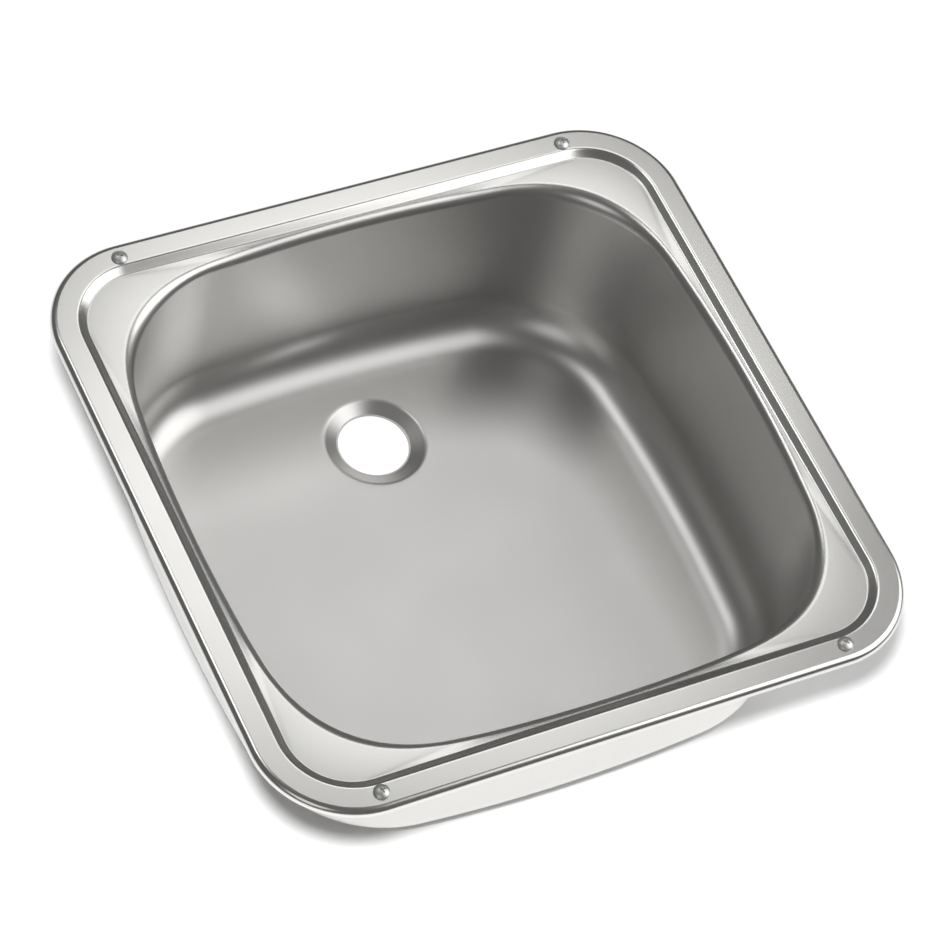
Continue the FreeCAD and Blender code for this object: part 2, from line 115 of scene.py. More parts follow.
class PressingSizes(bpy.types.PropertyGroup):
    rim_width: measured("Rim width", "Overall width", RIM_HIGH.x - RIM_LOW.x)
    rim_depth: measured("Rim depth", "Overall depth", RIM_HIGH.y - RIM_LOW.y)
    rim_top: measured("Rim top", "Height of the rim's top face", RIM_HIGH.z)
    rim_corner_radius: length("Rim corner radius", "Plan radius of the rim's corners", 58.5)
    sheet_thickness: length("Sheet thickness", "Thickness of the steel", 0.8)
    edge_height: length("Edge height", "Height of the turned-down edge", 4.6)
    edge_roll_radius: length("Edge roll", "Radius over the rim's outer edge", 4)
    step_inset: length("Step inset", "From the rim's edge to the step", 16.5)
    step_run: length("Step run", "Width of the step's slope", 4.8)
    step_drop: length("Step drop", "Height of the step", 3.2)
    step_edge_radius: length("Step edge", "Radius where the rim turns into the step", 4)
    step_foot_radius: length("Step foot", "Radius in the step's foot", 2.5)
    ledge_width: length("Ledge width", "Flat ledge at the middle of a side", 1)
    sag_slope: angle("Ledge slope", "Fall of the ledge to the bowl at the middle of a side", 10)
    sag_reach: length("Sag reach", "How far from a side's middle the ledge falls in full", 60)
    sag_fade: length("Sag fade", "From there to where the ledge is level", 50)
    sag_depth: length("Sag depth", "Below the rim, where the wall no longer follows the sag", 90)
    lip_radius: length("Lip radius", "Roll into the bowl at the middle of a side", 5.2)
    lip_corner_radius: length("Lip radius in corners", "Roll into the bowl in a corner", 9)
    side_radius: length("Side radius", "Plan radius of the bowl's long sides", 1045)
    corner_radius: length("Corner radius", "Plan radius of the bowl's corners", 87)
    draft: angle("Draft", "Lean of the bowl's walls", 2.3)
    floor_drop: length("Floor drop", "Depth of the floor at the front wall", 125.4)
    floor_fall: angle("Floor fall", "Slope of the floor to the rear", 0.7)
    floor_fillet: length("Floor fillet", "Radius between wall and floor", 27)
    dish_radius: length("Dish radius", "Outer radius of the waste's dish", 31.5)
    dish_flat_radius: length("Seat radius", "Outer radius of the dish's flat ring", 23)
    dish_drop: length("Dish drop", "Depth of the dish", 5)
    dish_edge_radius: length("Dish edge", "Radius where the floor turns into the dish", 6)
    dish_foot_radius: length("Dish foot", "Radius where the dish meets its flat ring", 1)
    broken_edge: length("Broken edge", "Rounding of the cut edges of the sheet", 0.18)
    side_steps: count("Side steps", "Faces along a side", 24)
    corner_steps: count("Corner steps", "Faces round a corner", 48)
    rim_steps: count("Rim steps", "Faces round each arc of the rim's profile", 8)
    lip_steps: count("Lip steps", "Faces round the lip", 14)
    wall_steps: count("Wall steps", "Faces down the wall", 9)
    fillet_steps: count("Fillet steps", "Faces round the floor's fillet", 18)
    floor_steps: count("Floor steps", "Faces from the fillet to the waste's dish", 12)
    dish_edge_steps: count("Dish edge steps", "Faces round the dish's edge", 5)
    dish_foot_steps: count("Dish foot steps", "Faces round the dish's foot", 4)


class SealSizes(bpy.types.PropertyGroup):
    outer_inset: length("Outside", "Inset of the strip's outer face from the rim's edge", 1.1)
    inner_inset: length("Inside", "Inset of the strip's inner face", 6.6)
    foot_radius: length("Foot radius", "Rounding of the strip's lower outer edge", 0.8)
    small_radius: length("Edge radius", "Rounding of the strip's inner edges", 0.3)
    edge_steps: count("Edge steps", "Faces round each edge", 5)


class ScrewSizes(bpy.types.PropertyGroup):
    shank_radius: length("Thread radius", "Outside radius of the thread", 2)
    core_radius: length("Core radius", "Radius at the thread's root", 1.42)
    thread_pitch: length("Pitch", "Rise of the thread in one turn", 1.4)
    neck_radius: length("Neck radius", "Radius of the plain neck under the head", 1.6)
    neck_length: length("Neck", "Length of the plain neck", 4.55)
    point_length: length("Point", "Length of the tapered point", 5)
    head_side: length("Head side", "Height of the head's rounded rim", 0.7)
    head_bevel: length("Head bevel", "Bevel of the head's rim", 0.15)
    recess_wing: length("Recess wing", "Reach of the cross recess from the axis", 2.3)
    recess_slot: length("Recess slot", "Width of the cross recess", 1.1)
    recess_depth: length("Recess depth", "Depth of the cross recess", 1.7)
    hole_clearance: length("Hole clearance", "Round the thread in the rim's hole", 0.1)
    washer_clearance: length("Washer clearance", "Round the neck in the washer", 0.05)
    washer_edge: length("Washer edge", "Rounding of the washer's edges", 0.2)
    head_segments: count("Head segments", "Faces round the head and the washer", 48)
    shank_segments: count("Shank segments", "Faces round the shank and the hole", 32)
    dome_steps: count("Dome steps", "Faces from the dome's top to its rim", 12)
    thread_steps: count("Thread steps", "Rows of faces in one turn of the thread", 10)
    washer_steps: count("Washer edge steps", "Faces round each of the washer's edges", 3)


class Finishes(bpy.types.PropertyGroup):
    rim_steel: colour("Rim", "Polished stainless sheet", "#DEDDDA")
    # The bowl's colour is a little darker than the rim's, partly for duller steel and partly as
    # painted shade inside the bowl
    bowl_steel_and_shade: colour("Bowl", "Satin stainless sheet, a little darker", "#D7D6D4")
    rim_roughness: plain("Rim roughness", "Of the polished rim", 0.22)
    bowl_roughness: plain("Bowl roughness", "Of the drawn bowl", 0.36)
    screw: colour("Screw", "Polished stainless", "#E8E8E6")
    foam: colour("Foam", "Sealing strip", "#D9D5CF")
    nylon: colour("Nylon", "Captive washers", "#DAD8CF")
    floor: colour("Floor", "Studio floor", "#F4F4F4")


class StudioSizes(bpy.types.PropertyGroup):
    azimuth: angle("Azimuth", "Camera's direction round the sink, from the front", -38.4)
    elevation: angle("Elevation", "Camera's height above the horizon", 54.18)
    roll: angle("Roll", "Turn of the picture", 16.56)
    distance: measured("Distance", "Camera to the aim", 2.3325)
    aim_x: measured("Aim across", "Where the camera points, across", 0.009)
    aim_y: measured("Aim along", "Where the camera points, along", 0.0056)
    aim_drop: length("Aim down", "Where the camera points, below the rim", 40)
    lens: bpy.props.FloatProperty(name="Lens", description="Focal length in mm", default=151.51)
    rear_azimuth: angle("Rear box azimuth", "Round the sink, from the front", 145.2)
    rear_elevation: angle("Rear box elevation", "Above the horizon", 55.4)
    rear_width: measured("Rear box width", "Across the box", 0.9)
    rear_height: measured("Rear box height", "Up the box", 0.74)
    rear_brightness: plain("Rear box brightness", "White is 1", 1.6)
    side_azimuth: angle("Side box azimuth", "Round the sink, from the front", 73)
    side_elevation: angle("Side box elevation", "Above the horizon", 43)
    side_width: measured("Side box width", "Across the box", 2.05)
    side_height: measured("Side box height", "Up the box", 2.1)
    side_brightness: plain("Side box brightness", "White is 1", 1.8)
    left_azimuth: angle("Left box azimuth", "Round the sink, from the front", 202.3)
    left_elevation: angle("Left box elevation", "Above the horizon", 61.6)
    left_width: measured("Left box width", "Across the box", 0.7)
    left_height: measured("Left box height", "Up the box", 0.7)
    left_brightness: plain("Left box brightness", "White is 1", 2.6)
    front_azimuth: angle("Front box azimuth", "Round the sink, from the front", -52)
    front_elevation: angle("Front box elevation", "Above the horizon", 38)
    front_width: measured("Front box width", "Across the box", 1.25)
    front_height: measured("Front box height", "Up the box", 1.25)
    front_brightness: plain("Front box brightness", "White is 1", 0.8)
    wash_azimuth: angle("Floor lamp azimuth", "Round the sink, from the front", -42.8)
    wash_elevation: angle("Floor lamp elevation", "Above the horizon", 59.5)
    wash_distance: measured("Floor lamp distance", "From the aim", 2.6)
    wash_cone: angle("Floor lamp cone", "Full angle of its beam", 110)
    wash_blend: plain("Floor lamp blend", "Share of the beam that fades out", 0.8)
    wash_power: plain("Floor lamp power", "In watts", 268)
    wash_softness: measured("Floor lamp softness", "Radius of the lamp", 0.1)
    room: colour("Room", "Colour of the room", "#F2F2F2")
    room_brightness: plain("Room brightness", "White is 1", 0.14)
    floor_reach: measured("Floor reach", "From the sink to the floor's edges", 4)


def linear(hex_value):
    """An sRGB hex value as linear red, green, blue and full alpha."""
    digits = hex_value.lstrip("#")
    parts = [int(digits[start:start + 2], 16) / 255 for start in (0, 2, 4)]
    low_end = 0.04045
    return [
        part / 12.92 if part <= low_end else ((part + 0.055) / 1.055) ** 2.4 for part in parts
    ] + [1]


# Node trees


def add_node(tree, kind, settings=None, links=None):
    """Add a node, set its values, and link its inputs from other nodes' sockets."""
    node = tree.nodes.new(kind)
    for name, number in (settings or {}).items():
        if name in node.inputs:
            node.inputs[name].default_value = number
        else:
            setattr(node, name, number)
    for name, socket in (links or {}).items():
        tree.links.new(socket, node.inputs[name])
    return node


def noise(tree, place, width, detail):
    """Noise whose patches are about as wide as given, in metres."""
    settings = {"Scale": 1 / width, "Detail": detail}
    return add_node(tree, "ShaderNodeTexNoise", settings, {"Vector": place}).outputs["Fac"]


def spread(tree, value, source, target):
    """A value stretched from one range to another."""
    settings = {
        "From Min": source[0],
        "From Max": source[1],
        "To Min": target[0],
        "To Max": target[1],
    }
    return add_node(tree, "ShaderNodeMapRange", settings, {"Value": value}).outputs["Result"]


def bump(tree, height, strength, distance):
    settings = {"Strength": strength, "Distance": distance}
    return add_node(tree, "ShaderNodeBump", settings, {"Height": height}).outputs["Normal"]


def mix_colours(tree, first, second, share):
    """A blend of two colours. The mix node's sockets for colours are found by number."""
    first_socket, second_socket, result_socket = 6, 7, 2
    mix = add_node(tree, "ShaderNodeMix", {"data_type": "RGBA"}, {"Factor": share})
    mix.inputs[first_socket].default_value = first
    mix.inputs[second_socket].default_value = second
    return mix.outputs[result_socket]


def multiply(tree, first, second):
    product = add_node(tree, "ShaderNodeMath", {"operation": "MULTIPLY"})
    tree.links.new(first, product.inputs[0])
    tree.links.new(second, product.inputs[1])
    return product.outputs["Value"]


def new_material(name):
    """An empty material, its node tree, and the place on the object for its textures."""
    material = bpy.data.materials.new(name)
    material.use_nodes = True
    tree = material.node_tree
    tree.nodes.clear()
    return material, tree, add_node(tree, "ShaderNodeTexCoord").outputs["Object"]


def finish_material(tree, settings, links):
    shader = add_node(tree, "ShaderNodeBsdfPrincipled", settings, links)
    add_node(tree, "ShaderNodeOutputMaterial", links={"Surface": shader.outputs["BSDF"]})


def satin_stainless(finishes):
    """Pressed stainless sheet with a fine satin finish.

    The press leaves it smooth and slightly uneven, and the polishing leaves a grain too fine to
    see one by one, which spreads reflections into soft bands. The rim is polished brightest. The
    drawn bowl, where the metal has stretched, is duller, and its colour is a little darker, partly
    for the duller steel and partly as painted shade inside the bowl. The grain is drawn 0.5 mm
    wide, a few times coarser than the real one, so that it shows at all.
    """
    material, tree, place = new_material("satin_stainless_sheet")
    height = add_node(tree, "ShaderNodeSeparateXYZ", links={"Vector": place}).outputs["Z"]
    # Below the rim the colour darkens, partly for duller steel and partly as painted shade inside
    # the bowl
    dull_and_shaded_below, polished_above = RIM_HIGH.z - 9 * MM, RIM_HIGH.z - 0.5 * MM
    on_rim = spread(tree, height, (dull_and_shaded_below, polished_above), (0, 1))
    tone_and_shade = mix_colours(tree, linear(finishes.bowl_steel_and_shade), linear(finishes.rim_steel), on_rim)
    dullness = spread(tree, on_rim, (0, 1), (finishes.bowl_roughness, finishes.rim_roughness))
    cloud = noise(tree, place, width=60 * MM, detail=3)
    unevenness = spread(tree, cloud, NOISE_RANGE, (0.97, 1.03))
    grain = noise(tree, place, width=0.5 * MM, detail=2)
    links = {
        "Base Color": tone_and_shade,
        "Roughness": multiply(tree, dullness, unevenness),
        "Normal": bump(tree, grain, strength=0.12, distance=0.02 * MM),
    }
    finish_material(tree, {"Metallic": 1}, links)
    return material


def polished_stainless(finishes):
    """Barrel-polished stainless screws: bright, with faint tool marks in the roughness."""
    material, tree, place = new_material("polished_stainless_screw")
    marks = noise(tree, place, width=0.4 * MM, detail=3)
    settings = {"Base Color": linear(finishes.screw), "Metallic": 1}
    finish_material(tree, settings, {"Roughness": spread(tree, marks, NOISE_RANGE, (0.38, 0.48))})
    return material


def foam_rubber(finishes):
    """Closed-cell foam strip: dull and pale, with a skin of fine closed cells."""
    material, tree, place = new_material("closed_cell_foam")
    cell_width = 0.35 * MM
    settings = {"Scale": 1 / cell_width}
    cells = add_node(tree, "ShaderNodeTexVoronoi", settings, {"Vector": place})
    depth = cells.outputs["Distance"]
    shade_strength = 0.88
    pale = linear(finishes.foam)
    shade = [part * shade_strength for part in pale[:3]] + [1]
    links = {
        "Base Color": mix_colours(tree, pale, shade, depth),
        "Normal": bump(tree, depth, strength=0.3, distance=0.05 * MM),
    }
    finish_material(tree, {"Roughness": 0.85}, links)
    return material


def moulded_nylon(finishes):
    """Natural nylon: milky, slightly waxy, with a soft moulded texture."""
    material, tree, place = new_material("moulded_nylon")
    texture = noise(tree, place, width=0.3 * MM, detail=2)
    settings = {"Base Color": linear(finishes.nylon), "Roughness": 0.45, "IOR": 1.53}
    normal = bump(tree, texture, strength=0.2, distance=0.02 * MM)
    finish_material(tree, settings, {"Normal": normal})
    return material


def studio_floor(finishes):
    """Matt white studio floor."""
    material, tree, _ = new_material("studio_floor")
    finish_material(tree, {"Base Color": linear(finishes.floor), "Roughness": 0.9}, {})
    return material


def material_for(name, maker, context):
    return bpy.data.materials.get(name) or maker(context.scene.sink_finishes)


# Outlines and profiles


def side_and_corner_arcs(half_x, half_y, side_radius, corner_radius):
    """The corner arc's centre, and the normals' directions where it starts and ends."""
    reach_x = side_radius - half_x
    reach_y = side_radius - half_y
    span = math.hypot(reach_x, reach_y)
    rise = math.sqrt((side_radius - corner_radius) ** 2 - span ** 2 / 4)
    corner_x = -reach_x / 2 + rise * reach_y / span
    corner_y = -reach_y / 2 + rise * reach_x / span
    start = math.atan2(corner_y, corner_x + reach_x)
    end = math.atan2(corner_y + reach_y, corner_x)
    return Vector((corner_x, corner_y)), start, end


def outline(sizes, half_x, half_y, corner_radius, side_radius=None):
    """Points round a square with rounded corners, each with its outward direction.

    The sides are straight without a side radius. Every outline has as many points on each side
    and in each corner, so that outlines join point by point.
    """
    if side_radius is None:
        centre = Vector((half_x - corner_radius, half_y - corner_radius))
        start, end = 0, math.pi / 2
    else:
        centre, start, end = side_and_corner_arcs(half_x, half_y, side_radius, corner_radius)
    corners = [Vector((x * centre.x, y * centre.y)) for x, y in QUADRANTS]
    points = []
    for quarter, corner in enumerate(corners):
        turn = quarter * math.pi / 2
        even = quarter % 2 == 0
        corner_start = start if even else math.pi / 2 - end
        corner_end = end if even else math.pi / 2 - start
        for step in range(sizes.side_steps):
            along = step / sizes.side_steps
            normal = pointing(turn - corner_start + 2 * corner_start * along)
            if side_radius is None:
                first = corners[quarter - 1] + normal * corner_radius
                second = corner + normal * corner_radius
                place = first.lerp(second, along)
            else:
                half = half_x if even else half_y
                place = pointing(turn) * (half - side_radius) + normal * side_radius
            points.append((place, normal))
        for step in range(sizes.corner_steps):
            swing = (corner_end - corner_start) * step / sizes.corner_steps
            normal = pointing(turn + corner_start + swing)
            points.append((corner + normal * corner_radius, normal))
    return points


def pointing(turn):
    """A direction in plan."""
    return Vector((math.cos(turn), math.sin(turn)))


def rounded_corner(corner, before, after, radius, steps):
    """Points of an arc that rounds a corner between two directions of travel."""
    before = Vector(before).normalized()
    after = Vector(after).normalized()
    turn = math.acos(max(-1, min(1, before.dot(after))))
    tangent = radius * math.tan(turn / 2)
    start = Vector(corner) - before * tangent
    side = Vector((-before.y, before.x))
    if side.dot(after) < 0:
        side.negate()
    centre = start + side * radius
    points = []
    for step in range(steps + 1):
        part = turn * step / steps
        points.append(centre - side * radius * math.cos(part) + before * radius * math.sin(part))
    return points


def rounded_path(corners, steps):
    """A path through (place, radius) corners, its inner corners rounded and their ends guarded."""
    path = [Vector(corners[0][0])]
    for index in range(1, len(corners) - 1):
        place = Vector(corners[index][0])
        before = place - Vector(corners[index - 1][0])
        after = Vector(corners[index + 1][0]) - place
        arc = rounded_corner(place, before, after, corners[index][1], steps)
        path.append(arc[0] - before.normalized() * SHADING_GUARD)
        path += arc
        path.append(arc[-1] + after.normalized() * SHADING_GUARD)
    path.append(Vector(corners[-1][0]))
    return path


def rounded_loop(corners, steps):
    """A closed path through (place, radius) corners, all of them rounded."""
    loop = []
    for index, (place, radius) in enumerate(corners):
        before = Vector(place) - Vector(corners[index - 1][0])
        after = Vector(corners[(index + 1) % len(corners)][0]) - Vector(place)
        loop += rounded_corner(place, before, after, radius, steps)
    return loop


def moved_out(point, normal, distance, height):
    """A point of an outline moved outwards and to a height."""
    return (point + normal * distance).to_3d() + Vector((0, 0, height))


def inset_ring(base, inset, height):
    return [moved_out(point, normal, -inset, height) for point, normal in base]


# Meshes


def mesh_from_rings(name, rings, close_rings=False):
    """A mesh of faces between rings of equally many points."""
    mesh = bpy.data.meshes.new(name)
    points = [point for ring in rings for point in ring]
    around = len(rings[0])
    total = len(rings)
    faces = []
    for row in range(total if close_rings else total - 1):
        here = row * around
        there = (row + 1) % total * around
        for index in range(around):
            beside = (index + 1) % around
            faces.append((here + index, here + beside, there + beside, there + index))
    mesh.from_pydata(points, [], faces)
    mesh.update()
    return mesh


def new_piece(name, mesh, material=None):
    piece = bpy.data.objects.new(name, mesh)
    bpy.context.scene.collection.objects.link(piece)
    if material:
        mesh.materials.clear()
        mesh.materials.append(material)
    return piece


def bake_modifiers(piece):
    """Replace a piece's mesh by what its modifiers make of it."""
    graph = bpy.context.evaluated_depsgraph_get()
    baked = bpy.data.meshes.new_from_object(piece.evaluated_get(graph))
    piece.modifiers.clear()
    old = piece.data
    piece.data = baked
    bpy.data.meshes.remove(old)


def combine(piece, operation, others):
    """Cut other pieces out of a piece or join them to it, and remove them."""
    for other in others:
        change = piece.modifiers.new("combine", "BOOLEAN")
        change.operation = operation
        change.solver = "EXACT"
        change.object = other
    bake_modifiers(piece)
    for other in others:
        # Removing the mesh removes its piece as well
        bpy.data.meshes.remove(other.data)


def smooth(piece):
    mesh = piece.data
    mesh.polygons.foreach_set("use_smooth", [True] * len(mesh.polygons))
    mesh.set_sharp_from_angle(angle=math.radians(SHARP_DEGREES))
    mesh.update()


def close_up(mesh):
    """Fill the holes of a mesh, merge its doubles and turn every face outwards."""
    work = bmesh.new()
    work.from_mesh(mesh)
    bmesh.ops.holes_fill(work, edges=work.edges)
    bmesh.ops.remove_doubles(work, verts=work.verts, dist=MERGE_DISTANCE)
    bmesh.ops.recalc_face_normals(work, faces=work.faces)
    work.to_mesh(mesh)
    work.free()


def turned(name, profile, segments):
    """A closed solid of revolution about Z, from (radius, height) points.

    A profile that starts on the axis ends there too. Any other is a loop.
    """
    work = bmesh.new()
    rows = []
    for radius, height in profile:
        if radius == 0:
            rows.append([work.verts.new((0, 0, height))])
            continue
        row = []
        for step in range(segments):
            turn = 2 * math.pi * step / segments
            row.append(work.verts.new((radius * math.cos(turn), radius * math.sin(turn), height)))
        rows.append(row)
    is_loop = profile[0][0] != 0
    last = len(rows) if is_loop else len(rows) - 1
    for index in range(last):
        low, high = rows[index], rows[(index + 1) % len(rows)]
        for step in range(segments):
            beside = (step + 1) % segments
            corners = [
                low[step % len(low)],
                low[beside % len(low)],
                high[beside % len(high)],
                high[step % len(high)],
            ]
            work.faces.new(list(dict.fromkeys(corners)))
    bmesh.ops.recalc_face_normals(work, faces=work.faces)
    mesh = bpy.data.meshes.new(name)
    work.to_mesh(mesh)
    work.free()
    return mesh


# The pressing


def rim_rings(sizes):
    """From the foot of the turned-down edge, over the rim and down the step to the ledge."""
    base = outline(sizes, sizes.rim_width / 2, sizes.rim_depth / 2, sizes.rim_corner_radius)
    step_foot = sizes.step_inset + sizes.step_run
    corners = [
        ((0, -sizes.edge_height), 0),
        ((0, 0), sizes.edge_roll_radius),
        ((sizes.step_inset, 0), sizes.step_edge_radius),
        ((step_foot, -sizes.step_drop), sizes.step_foot_radius),
        ((step_foot + sizes.ledge_width, -sizes.step_drop), 0),
    ]
    profile = rounded_path(corners, sizes.rim_steps)
    return [inset_ring(base, inset, sizes.rim_top + height) for inset, height in profile]


def wall_profile(sizes, normal, lip_radius, fall, deeper):
    """From the ledge over the lip and down to the floor, as (outwards, height) points.

    The floor falls to the rear, so it lies deeper here than at the front wall.
    """
    wall = Vector((-math.sin(sizes.draft), -math.cos(sizes.draft)))
    lip_corner = Vector((0, -sizes.step_drop))
    lip = rounded_corner(lip_corner, (-1, 0), wall, lip_radius, sizes.lip_steps)
    # Where the wall's line meets the floor's plane
    run = sizes.floor_drop - sizes.step_drop + deeper
    run /= math.cos(sizes.draft) + normal.y * math.sin(sizes.draft) * fall
    foot = lip_corner + wall * run
    floor_way = (-1, normal.y * fall)
    fillet = rounded_corner(foot, wall, floor_way, sizes.floor_fillet, sizes.fillet_steps)
    profile = [*lip, lip[-1] + wall * SHADING_GUARD]
    for row in range(1, sizes.wall_steps):
        profile.append(lip[-1].lerp(fillet[0], row / sizes.wall_steps))
    return [*profile, fillet[0] - wall * SHADING_GUARD, *fillet]


def dish_profile(sizes, normal, fall, floor_height):
    """From the floor over the dish's edge into the waste hole, out from the hole's axis."""
    edge = Vector((sizes.dish_radius, floor_height))
    seat = Vector((sizes.dish_flat_radius, floor_height - sizes.dish_drop))
    slope = seat - edge
    floor_way = Vector((-1, normal.y * fall))
    # The floor's line and the dish's slope cross at the brink
    cross = floor_way.x * slope.y - floor_way.y * slope.x
    away = Vector((0, floor_height)) - edge
    along = (floor_way.x * away.y - floor_way.y * away.x) / cross
    brink = edge + slope * along
    dish = rounded_corner(brink, floor_way, slope, sizes.dish_edge_radius, sizes.dish_edge_steps)
    dish += rounded_corner(seat, slope, (-1, 0), sizes.dish_foot_radius, sizes.dish_foot_steps)
    return [*dish, Vector((WASTE["dims"]["r_mm"] * MM, seat.y))]


def bowl_rings(sizes):
    """From the ledge over the lip, down the wall, over the floor and into the waste hole."""
    inset = sizes.step_inset + sizes.step_run + sizes.ledge_width + sizes.lip_radius
    half_x = sizes.rim_width / 2 - inset
    half_y = sizes.rim_depth / 2 - inset
    base = outline(sizes, half_x, half_y, sizes.corner_radius, sizes.side_radius)
    fall = math.tan(sizes.floor_fall)
    waste = Vector(WASTE["pos_m"][:2])
    waste_floor = -(sizes.floor_drop + (waste.y + half_y) * fall)
    top = Vector((0, 0, sizes.rim_top))
    steps = sizes.side_steps + sizes.corner_steps
    columns = []
    for index, (point, normal) in enumerate(base):
        # The lip's roll swells in the corners
        into_corner = (index % steps - sizes.side_steps) / sizes.corner_steps
        swell = math.sin(math.pi * max(0, into_corner)) ** 2
        lip_radius = sizes.lip_radius + (sizes.lip_corner_radius - sizes.lip_radius) * swell
        wall = wall_profile(sizes, normal, lip_radius, fall, (point.y + half_y) * fall)
        column = [moved_out(point, normal, out, height) for out, height in wall]
        dish = dish_profile(sizes, normal, fall, waste_floor)
        around = [moved_out(waste, normal, out, height) for out, height in dish]
        # The floor's rows crowd at both ends, which keeps its shading flat
        first, last = column[-1], around[0]
        for row in range(1, sizes.floor_steps):
            part = row / sizes.floor_steps
            column.append(first.lerp(last, 0.5 - 0.5 * math.cos(math.pi * part)))
        columns.append([place + top for place in column + around])
    return [list(ring) for ring in zip(*columns)]


def ledge_sag(sizes, place):
    """How far a place near a side's middle lies lower, as the press pulls the ledge down."""
    turn = math.atan2(sizes.step_drop, sizes.step_run)
    tangent = sizes.step_foot_radius * math.tan(turn / 2)
    inset = min(sizes.rim_width / 2 - abs(place.x), sizes.rim_depth / 2 - abs(place.y))
    beyond = max(0, inset - (sizes.step_inset + sizes.step_run - tangent))
    blend = 2 * tangent
    run = beyond ** 2 / (2 * blend) if beyond < blend else beyond - blend / 2
    past = (min(abs(place.x), abs(place.y)) - sizes.sag_reach) / sizes.sag_fade
    past = max(0, min(1, past))
    share = 1 - past ** 2 * (3 - 2 * past)
    lip_foot = sizes.step_drop + sizes.lip_radius
    depth = (sizes.rim_top - place.z - lip_foot) / (sizes.sag_depth - lip_foot)
    depth = max(0, min(1, depth))
    return math.tan(sizes.sag_slope) * run * share * (1 - depth)


def press_bowl(sizes, material):
    """One skin of steel from the rim's edge to the waste hole, thickened, its edges broken."""
    rings = rim_rings(sizes) + bowl_rings(sizes)
    for ring in rings:
        for place in ring:
            place.z -= ledge_sag(sizes, place)
    piece = new_piece("pressed_bowl", mesh_from_rings("pressed_bowl", rings), material)
    shell = piece.modifiers.new("thickness", "SOLIDIFY")
    shell.thickness = sizes.sheet_thickness
    shell.offset = -1
    shell.use_even_offset = True
    shell.use_quality_normals = True
    edge = piece.modifiers.new("broken_edges", "BEVEL")
    edge.limit_method = "ANGLE"
    edge.angle_limit = math.radians(60)
    edge.width = sizes.broken_edge
    edge.segments = 3
    bake_modifiers(piece)
    return piece


def cut_screw_holes(piece, sizes, screws):
    """Round holes through the rim, one under each screw's head."""
    over = 2 * MM
    radius = screws.shank_radius + screws.hole_clearance
    low = sizes.rim_top - sizes.sheet_thickness - over
    high = sizes.rim_top + over
    profile = [(0, low), (radius, low), (radius, high), (0, high)]
    plug = turned("hole_plug", profile, screws.shank_segments)
    work = bmesh.new()
    for x, y in screw_places():
        work.from_mesh(plug)
        bmesh.ops.translate(work, verts=work.verts[-len(plug.vertices):], vec=(x, y, 0))
    cutter = bpy.data.meshes.new("hole_cutter")
    work.to_mesh(cutter)
    work.free()
    bpy.data.meshes.remove(plug)
    combine(piece, "DIFFERENCE", [new_piece("hole_cutter", cutter)])


def screw_places():
    """Each screw's axis, in the order of CORNERS."""
    places = []
    for corner in CORNERS:
        low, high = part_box(f"fixing_screw_{corner}")
        places.append(((low[0] + high[0]) / 2, (low[1] + high[1]) / 2))
    return places


# Geometry Nodes: one fixing on each corner of a rectangle


def corner_tree():
    """Puts a piece on one corner of a grid of two by two, and gives it its material."""
    tree = bpy.data.node_groups.new("corner_fixing", "GeometryNodeTree")
    sockets = {}
    wanted = {
        "Geometry": "NodeSocketGeometry",
        "Spacing X": "NodeSocketFloat",
        "Spacing Y": "NodeSocketFloat",
        "Centre Y": "NodeSocketFloat",
        "Corner": "NodeSocketInt",
        "Turn": "NodeSocketFloat",
        "Finish": "NodeSocketMaterial",
    }
    for name, kind in wanted.items():
        sockets[name] = tree.interface.new_socket(name=name, in_out="INPUT", socket_type=kind)
    tree.interface.new_socket(name="Geometry", in_out="OUTPUT", socket_type="NodeSocketGeometry")
    given = add_node(tree, "NodeGroupInput").outputs
    grid = add_node(
        tree,
        "GeometryNodeMeshGrid",
        {"Vertices X": 2, "Vertices Y": 2},
        {"Size X": given["Spacing X"], "Size Y": given["Spacing Y"]},
    )
    offset = add_node(tree, "ShaderNodeCombineXYZ", links={"Y": given["Centre Y"]})
    moved = add_node(
        tree,
        "GeometryNodeTransform",
        links={"Geometry": grid.outputs["Mesh"], "Translation": offset.outputs["Vector"]},
    )
    index = add_node(tree, "GeometryNodeInputIndex")
    chosen = add_node(tree, "FunctionNodeCompare", {"data_type": "INT", "operation": "EQUAL"})
    # The compare node's sockets for whole numbers are found by number
    first_socket, second_socket = 2, 3
    tree.links.new(index.outputs["Index"], chosen.inputs[first_socket])
    tree.links.new(given["Corner"], chosen.inputs[second_socket])
    turn = add_node(tree, "ShaderNodeCombineXYZ", links={"Z": given["Turn"]})
    placed = add_node(
        tree,
        "GeometryNodeInstanceOnPoints",
        links={
            "Points": moved.outputs["Geometry"],
            "Selection": chosen.outputs["Result"],
            "Instance": given["Geometry"],
            "Rotation": turn.outputs["Vector"],
        },
    )
    real = add_node(
        tree, "GeometryNodeRealizeInstances", links={"Geometry": placed.outputs["Instances"]}
    )
    coated = add_node(
        tree,
        "GeometryNodeSetMaterial",
        links={"Geometry": real.outputs["Geometry"], "Material": given["Finish"]},
    )
    add_node(tree, "NodeGroupOutput", links={"Geometry": coated.outputs["Geometry"]})
    return tree, sockets


def fit_on_corners(master, prefix, replaced, body, turns, material):
    """A copy of a master mesh on each corner, riding on that corner's body."""
    tree, sockets = corner_tree()
    places = screw_places()
    xs = [x for x, _ in places]
    ys = [y for _, y in places]
    for index, corner in enumerate(CORNERS):
        piece = new_piece(f"{prefix}_{corner}", master.copy(), material)
        fitting = piece.modifiers.new("corner", "NODES")
        fitting.node_group = tree
        values = {
            "Spacing X": max(xs) - min(xs),
            "Spacing Y": max(ys) - min(ys),
            "Centre Y": (max(ys) + min(ys)) / 2,
            "Corner": index,
            "Turn": turns[index],
            "Finish": material,
        }
        for name, number in values.items():
            fitting[sockets[name].identifier] = number
        bake_modifiers(piece)
        smooth(piece)
        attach(piece, f"{body}_{corner}")
        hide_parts(f"{replaced}_{corner}")


